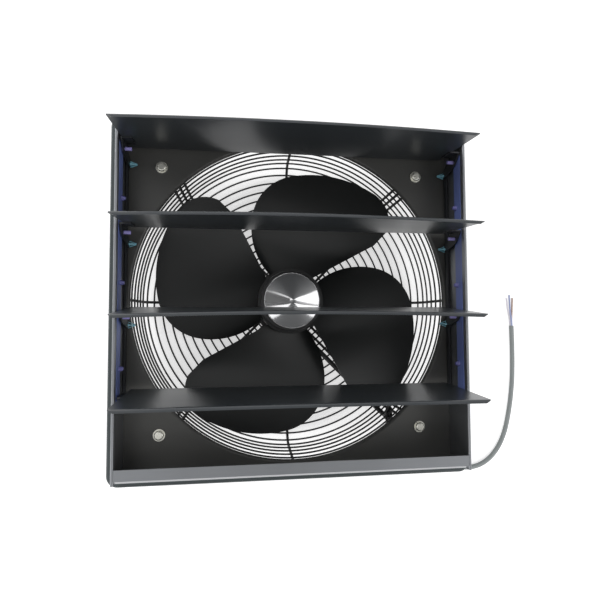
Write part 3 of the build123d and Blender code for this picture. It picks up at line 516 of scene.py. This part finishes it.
def guard_profile():
    """Radius and height of every ring: even steps inward on the flat rear, an even turn round the corner
    arc, and even steps up the leaning side."""
    rear = GUARD_FLAT - REAR_STEP * np.arange(REAR_STEPS + 1)
    inner = rear[-1] - INNER_STEP * np.arange(1, INNER_STEPS + 1)
    flat_radii = np.concatenate([rear, inner])
    flat_level = ARM_WIRE + RING_WIRE / 2
    turned = np.radians((90 - GUARD_TAPER) * np.arange(1, BEND_STEPS + 1) / BEND_STEPS)
    bend_radii = GUARD_FLAT + GUARD_BEND * np.sin(turned)
    bend_levels = flat_level + GUARD_BEND * (1 - np.cos(turned))
    climb = SIDE_STEP * np.arange(1, SIDE_STEPS + 1)
    lean = np.radians(GUARD_TAPER)
    side_radii = bend_radii[-1] + climb * np.sin(lean)
    side_levels = bend_levels[-1] + climb * np.cos(lean)
    rear_rings = [(radius, flat_level) for radius in flat_radii]
    side_rings = list(zip(np.append(bend_radii, side_radii), np.append(bend_levels, side_levels)))
    return rear_rings, side_rings


rear_rings, side_rings = guard_profile()
print("rings", len(rear_rings) + len(side_rings), "largest radius", round(side_rings[-1][0], 1), "mm")

# %% Round wires
RING_STEPS, WIRE_STEPS = 144, 8


def ring_points(radius, level, wire):
    """Torus: distance from the axis is the radius plus the wire's radius times the cosine of the small
    angle, and height is the level plus the wire's radius times its sine."""
    around, across = np.meshgrid(
        np.linspace(0, 2 * np.pi, RING_STEPS, endpoint=False),
        np.linspace(0, 2 * np.pi, WIRE_STEPS, endpoint=False),
        indexing="ij",
    )
    reach = radius + wire * np.cos(across)
    return np.stack([reach * np.cos(around), reach * np.sin(around), level + wire * np.sin(across)], axis=-1)


def ring_set(name, rings, node):
    """One object that holds a set of rings and stands for a node of the model."""
    points = np.concatenate(
        [ring_points(radius, level, RING_WIRE / 2).reshape(-1, 3) for radius, level in rings]
    )
    quads = grid_faces(RING_STEPS, WIRE_STEPS, wrap_rows=True)
    starts = np.arange(len(rings)) * RING_STEPS * WIRE_STEPS
    points, faces = outward(points, (quads[None] + starts[:, None, None]).reshape(-1, 4))
    stand_in(mesh_object(name, points * MM, faces), node, "housing", "guard_wire")
    return len(faces)


rear_faces = ring_set("rear_ring_wires", rear_rings, "guard_rear_rings")
side_faces = ring_set("side_ring_wires", side_rings, "guard_side_rings")
print("ring faces", rear_faces + side_faces)

# %% [markdown]
# ## Slats
#
# A slat is a long thin sheet with a rounded front corner and a short turned lip. The real sheets are a
# little bowed: the front edge stands higher in the middle than at the ends, which gives each slat its long
# soft highlight. One closed section is worked out in the sheet's own plane, and numpy repeats it along the
# slat while the bow lifts it. The four slats stand a little out of line with one another, as play in the
# shutter's joints leaves them.

# %% Slat section
SLAT_SHEET = 1.2
SLAT_REAR, SLAT_FRONT, SLAT_REAR_RISE = -24.5, 75.5, 10.4
SLAT_LIP, SLAT_CORNER = 2.2, 1.0
SHEET_STATIONS, CORNER_STATIONS = 25, 6


def slat_section(front_rise):
    """Closed loop of (reach, rise) points: the underside from the rear to the front, a small arc into the
    lip, the lip's end, and back by the outer arc and the top, which lies one sheet thickness above the
    underside."""
    reach = np.linspace(SLAT_REAR, SLAT_FRONT - SLAT_CORNER, SHEET_STATIONS)
    share = (reach - SLAT_REAR) / (SLAT_FRONT - SLAT_REAR)
    under = SLAT_REAR_RISE + (front_rise - SLAT_REAR_RISE) * share
    turned = np.linspace(0, np.pi / 2, CORNER_STATIONS)[1:]
    centre = np.array([SLAT_FRONT - SLAT_CORNER, under[-1] - SLAT_CORNER])
    spoke = np.stack([np.sin(turned), np.cos(turned)], axis=-1)
    lip_end = front_rise - SLAT_LIP
    lower_sheet = np.stack([reach, under], axis=-1)
    upper_sheet = np.stack([reach, under + SLAT_SHEET], axis=-1)[::-1]
    inner_corner = centre + SLAT_CORNER * spoke
    outer_corner = (centre + (SLAT_CORNER + SLAT_SHEET) * spoke)[::-1]
    lip = [[SLAT_FRONT, lip_end], [SLAT_FRONT + SLAT_SHEET, lip_end]]
    return np.concatenate([lower_sheet, inner_corner, lip, outer_corner, upper_sheet])


print("points on a section", len(slat_section(0.0)))

# %% Bowed sheets
PIVOT_LEVEL, TOP_PIVOT, SLAT_PITCH, SLAT_HALF = 104.0, 156.0, 88.0, 177.5
FRONT_RISES = {1: 3.4, 2: 3.4, 3: 0.4, 4: 5.6}
SLAT_SHIFTS = {1: -3.5, 2: -0.8, 3: 0.5, 4: 1.2}
SLAT_BOWS = {1: 3.0, 2: 3.1, 3: 3.0, 4: 0.6}
SLAT_STATIONS, LIP_CUT, BOW_POWER, SLAT_CREASE = 73, 5.0, 1.5, 35
PIVOT_HEIGHTS = {number: TOP_PIVOT - SLAT_PITCH * (number - 1) for number in FRONT_RISES}


def slat_points(height, front_rise, shift, bow):
    """Grid of points (station along the slat, place on the section). The bow lifts a point by its height
    times one minus the square of the place along the slat, and times a power of the share of the way from
    the rear edge to the front. Near the ends of the lip the section is drawn inward, so that each lip's end
    is cut at a slant."""
    section = slat_section(front_rise)
    along = np.linspace(-1, 1, SLAT_STATIONS)[:, None]
    reach, rise = section[None, :, 0], section[None, :, 1]
    share = (reach - SLAT_REAR) / (SLAT_FRONT - SLAT_REAR)
    lift = bow * (1 - along**2) * np.clip(share, 0, 1) ** BOW_POWER
    drop = np.clip(front_rise + SLAT_SHEET - rise, 0, None) * (reach > SLAT_FRONT - SLAT_CORNER)
    across = shift + along * (SLAT_HALF - drop * LIP_CUT / (SLAT_LIP + SLAT_SHEET))
    up = np.broadcast_to(height + rise, across.shape) + lift
    out = np.broadcast_to(PIVOT_LEVEL + reach, across.shape)
    return np.stack([across, up, out], axis=-1)


for number, height in PIVOT_HEIGHTS.items():
    grid = slat_points(height, FRONT_RISES[number], SLAT_SHIFTS[number], SLAT_BOWS[number])
    points, faces = capped_tube(grid)
    sheet = mesh_object(f"slat_{number}_sheet", points * MM, faces, sharp=SLAT_CREASE)
    stand_in(sheet, f"slat_{number}", f"slat_{number}", "slat_black")
print("slats", len(PIVOT_HEIGHTS), "points in each", len(points))

# %% [markdown]
# ## Barbed link pins
#
# Each link pin ends in four prongs that lean together at the tip, so that the pin can be pushed through its
# eye and then springs open. A prong is a wedge between two cones. Its section is an arc outside and an arc
# inside, and the sections are repeated from the open base to the tip.

# %% Prongs and rods
PIN_RADIUS, PIN_CORE, BARB_RADIUS, BARB_TIP = 2.0, 0.75, 3.6, 1.0
BARB_BASE, BARB_LENGTH, ROD_OUTER = 180.1, 7.4, 184.3
CRANK_DROP, CRANK_LEVEL = 8.0, 77.5
PRONG_COUNT, PRONG_HALF, PRONG_WALL, PRONG_INNERMOST = 4, np.radians(17), 0.8, 0.12
PRONG_ARC, PRONG_STATIONS, ROD_STEPS = 6, 9, 20


def prong_points(side, height, middle):
    """Grid of points (station from base to tip, place on the section). The outer radius falls evenly from
    the barb's radius to the tip's, the inner one stays a wall thinner, and both arcs span the same angle
    round the middle."""
    share = np.linspace(0, 1, PRONG_STATIONS)
    outer = BARB_RADIUS + (BARB_TIP - BARB_RADIUS) * share
    inner = np.maximum(outer - PRONG_WALL, PRONG_INNERMOST)
    arc = middle + np.linspace(-PRONG_HALF, PRONG_HALF, PRONG_ARC)
    angle = np.concatenate([arc, arc[::-1]])
    radius = np.concatenate([np.repeat(edge[:, None], PRONG_ARC, 1) for edge in (outer, inner)], axis=1)
    across = np.repeat(side * (BARB_BASE - BARB_LENGTH * share)[:, None], 2 * PRONG_ARC, 1)
    up = height - CRANK_DROP + radius * np.sin(angle)
    out = CRANK_LEVEL + radius * np.cos(angle)
    return np.stack([across, up, out], axis=-1)


def rod_points(side, height, reaches, radii):
    """Round rod along X: one ring of points for each reach from the middle, with its own radius."""
    angle = np.linspace(0, 2 * np.pi, ROD_STEPS, endpoint=False)
    reach, radius = np.array(reaches)[:, None], np.array(radii)[:, None]
    across = np.repeat(side * reach, ROD_STEPS, 1)
    up = height - CRANK_DROP + radius * np.sin(angle)
    out = CRANK_LEVEL + radius * np.cos(angle)
    return np.stack([across, up, out], axis=-1)


print("barb from", BARB_RADIUS, "to", BARB_TIP, "mm in", BARB_LENGTH, "mm")

# %% Pins of both link rods
CORE_SHORT, PIN_CREASE = 0.6, 40
PIN_REACHES = [ROD_OUTER, BARB_BASE, BARB_BASE, BARB_BASE - BARB_LENGTH + CORE_SHORT]
PIN_RADII = [PIN_RADIUS, PIN_RADIUS, PIN_CORE, PIN_CORE]


def joined(grids):
    """Points and faces of several closed tubes as one mesh."""
    points, faces, start = [], [], 0
    for grid in grids:
        tube_points, tube_faces = capped_tube(grid)
        faces += [[start + index for index in face] for face in tube_faces]
        points.append(tube_points)
        start += len(tube_points)
    return np.concatenate(points), faces


for side_name, side in {"left": -1, "right": 1}.items():
    grids = []
    for height in PIVOT_HEIGHTS.values():
        grids.append(rod_points(side, height, PIN_REACHES, PIN_RADII))
        grids += [prong_points(side, height, count * 2 * np.pi / PRONG_COUNT) for count in range(PRONG_COUNT)]
    points, faces = joined(grids)
    pins = mesh_object(f"{side_name}_prong_pins", points * MM, faces, sharp=PIN_CREASE)
    stand_in(pins, f"{side_name}_link_pins", f"{side_name}_link", "pin_teal")
print("prongs", PRONG_COUNT * 2 * len(PIVOT_HEIGHTS))

# %% [markdown]
# ## The power cord
#
# The free cord goes on from the end of the held lead at the lower right corner, drops to the floor behind
# the casing and curves up the right side. A cord has one smooth line, so it is a NURBS curve with a round
# bevel, whose control points are the corners of its route. Its stripped cores are three thinner curves.
# They leave the sheath a third of a turn apart, go straight for a little, and then spread and lie on the
# floor.

# %% Cord
CORD_RADIUS, FLOOR_GAP = 3.0, 0.2
CORD_FLOOR = CORD_RADIUS + FLOOR_GAP
CORD_ROUTE = [
    (134.35, -155.56, 59.5),
    (164.05, -185.26, 59.5),
    (195.0, -201.0, CORD_FLOOR),
    (232.0, -220.5, CORD_FLOOR),
    (266.0, -214.5, CORD_FLOOR),
    (291.0, -186.0, CORD_FLOOR),
    (303.0, -140.0, CORD_FLOOR),
    (309.0, -86.0, CORD_FLOOR),
    (308.0, -31.0, CORD_FLOOR),
]
BEVEL_STEPS, LINE_STEPS = 4, 16


def smooth_line(name, route, radius, slot):
    """A NURBS curve of order three that starts and ends on its route and is drawn toward the points
    between, with a round section."""
    curve = bpy.data.curves.new(name, "CURVE")
    curve.dimensions = "3D"
    curve.bevel_depth = radius * MM
    curve.bevel_resolution = BEVEL_STEPS
    curve.resolution_u = LINE_STEPS
    curve.use_fill_caps = True
    spline = curve.splines.new("NURBS")
    spline.points.add(len(route) - 1)
    weighted = np.column_stack([np.array(route) * MM, np.ones(len(route))])
    spline.points.foreach_set("co", weighted.ravel())
    spline.order_u = 3
    spline.use_endpoint_u = True
    piece = bpy.data.objects.new(name, curve)
    scene.collection.objects.link(piece)
    curve.materials.append(finishes[slot])
    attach(piece, "housing")
    return piece


cord = smooth_line("power_cord_sheath", CORD_ROUTE, CORD_RADIUS, "cord_grey")
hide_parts("power_cord")
print("cord points", len(CORD_ROUTE))

# %% Stripped cores
CORE_RADIUS, CORE_RING = 1.1, 1.35
CORE_STRAIGHT, CORE_LANDING, CORE_TAIL, OUTER_CORE_CUT = 9.0, 19.8, 42.0, 4.0
CORE_SPREAD, CORE_FLARE = 3.0, 1.4

cord_end, before_end = np.array(CORD_ROUTE[-1]), np.array(CORD_ROUTE[-2])
end_direction = (cord_end - before_end) / np.linalg.norm(cord_end - before_end)
end_side = np.array([end_direction[1], -end_direction[0], 0])
for colour, place in {"white": -1, "blue": 0, "brown": 1}.items():
    around = np.radians(90 - 120 * place)
    first = cord_end + end_side * CORE_RING * np.cos(around) + np.array([0, 0, CORE_RING * np.sin(around)])
    second = first + end_direction * CORE_STRAIGHT
    spread = end_side * place * CORE_SPREAD
    third = cord_end + end_direction * CORE_LANDING + spread
    fourth = cord_end + end_direction * (CORE_TAIL - OUTER_CORE_CUT * abs(place)) + spread * CORE_FLARE
    third[2] = fourth[2] = CORE_RADIUS + FLOOR_GAP
    core = smooth_line(f"{colour}_core_sheath", [first, second, third, fourth], CORE_RADIUS, f"core_{colour}")
    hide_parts(f"{colour}_core")

# %% [markdown]
# ## Settings
#
# The Standard view shows colours as they are written.

# %% Finish
scene.view_settings.view_transform = "Standard"
